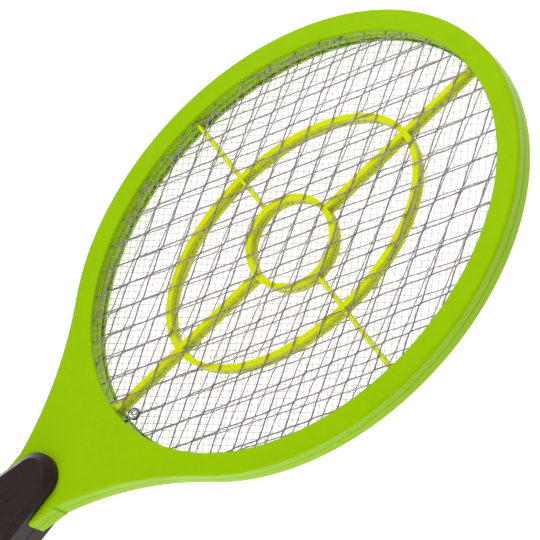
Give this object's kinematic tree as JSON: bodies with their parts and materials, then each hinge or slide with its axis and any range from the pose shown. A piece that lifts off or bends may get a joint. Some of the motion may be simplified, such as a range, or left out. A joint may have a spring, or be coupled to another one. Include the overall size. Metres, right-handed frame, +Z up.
{
  "type": "electric fly swatter",
  "caption": "Racket-shaped electric fly swatter: oval framed head with layered metal meshes and target ribs, and a battery handle with a thumb button.",
  "frame": {"origin": "under the middle of the whole swatter, on the surface it lies on", "axes": "+Z up out of the front face with the swatter on its back, +Y along the long axis towards the tip of the head, X across"},
  "size_m": [0.1816, 0.47, 0.0286],
  "materials": {
    "frame": "lime green moulded plastic, satin, fine moulded grain",
    "ribs": "yellow-green moulded plastic",
    "mesh": "expanded metal strands, dull bright",
    "wire": "thin drawn wire",
    "plated": "nickel plated",
    "lead_black": "black insulated wire",
    "lead_red": "red insulated wire",
    "screw": "zinc plated steel",
    "handle": "black-brown moulded plastic with fine dots",
    "button": "lime green moulded plastic",
    "black_part": "black moulded epoxy",
    "plunger": "natural nylon",
    "board": "tan phenolic paper board",
    "led": "red diffusing lens",
    "ferrite": "sintered ferrite",
    "winding": "yellow tape over copper winding",
    "film_capacitor": "dipped film capacitor",
    "ceramic": "dipped ceramic",
    "resistor": "lacquered resistor",
    "battery": "plain printed sleeve"
  },
  "bodies": {
    "racket": {"front_frame": "frame", "rear_frame": "frame", "front_spacer": "ribs", "rear_spacer": "ribs", "front_mesh": "mesh", "rear_mesh": "mesh", "middle_mesh": "wire", "front_terminal": "plated", "middle_terminal": "plated", "rear_terminal": "plated", "front_mesh_lead": "lead_black", "rear_mesh_lead": "lead_black", "middle_mesh_lead": "lead_red", "frame_screws": "screw", "front_handle_shell": "handle", "rear_handle_shell": "handle", "handle_screws": "screw", "switch_body": "black_part", "circuit_board": "board", "board_screws": "screw", "indicator_led": "led", "transformer_core": "ferrite", "transformer_winding": "winding", "discharge_capacitor": "film_capacitor", "multiplier_capacitors": "ceramic", "rectifier_diodes": "black_part", "resistors": "resistor", "transistor": "black_part", "battery_1": "battery", "battery_2": "battery", "positive_contact": "plated", "negative_contact": "plated", "bridge_contact": "plated", "positive_lead": "lead_red", "negative_lead": "lead_black"},
    "button": {"power_button": "button"},
    "plunger": {"switch_plunger": "plunger"},
    "door": {"battery_door": "handle"}
  },
  "joints": [
    {"name": "button_press", "type": "slide", "parent": "racket", "child": "button", "axis": [0, 0, -1], "range_m": [0, 0.0015], "stiffness_N_per_m": 500, "springref_m": -0.002},
    {"name": "plunger_press", "type": "slide", "parent": "racket", "child": "plunger", "axis": [0, 0, -1], "range_m": [0, 0.0015], "stiffness_N_per_m": 100, "springref_m": -0.002},
    {"name": "door_swing", "type": "hinge", "parent": "racket", "child": "door", "pos_m": [0, -0.1583, 0], "axis": [1, 0, 0], "range_deg": [0, 70]}
  ],
  "couplings": [
    {"joint": "plunger_press", "follows": "button_press", "ratio": 1}
  ]
}
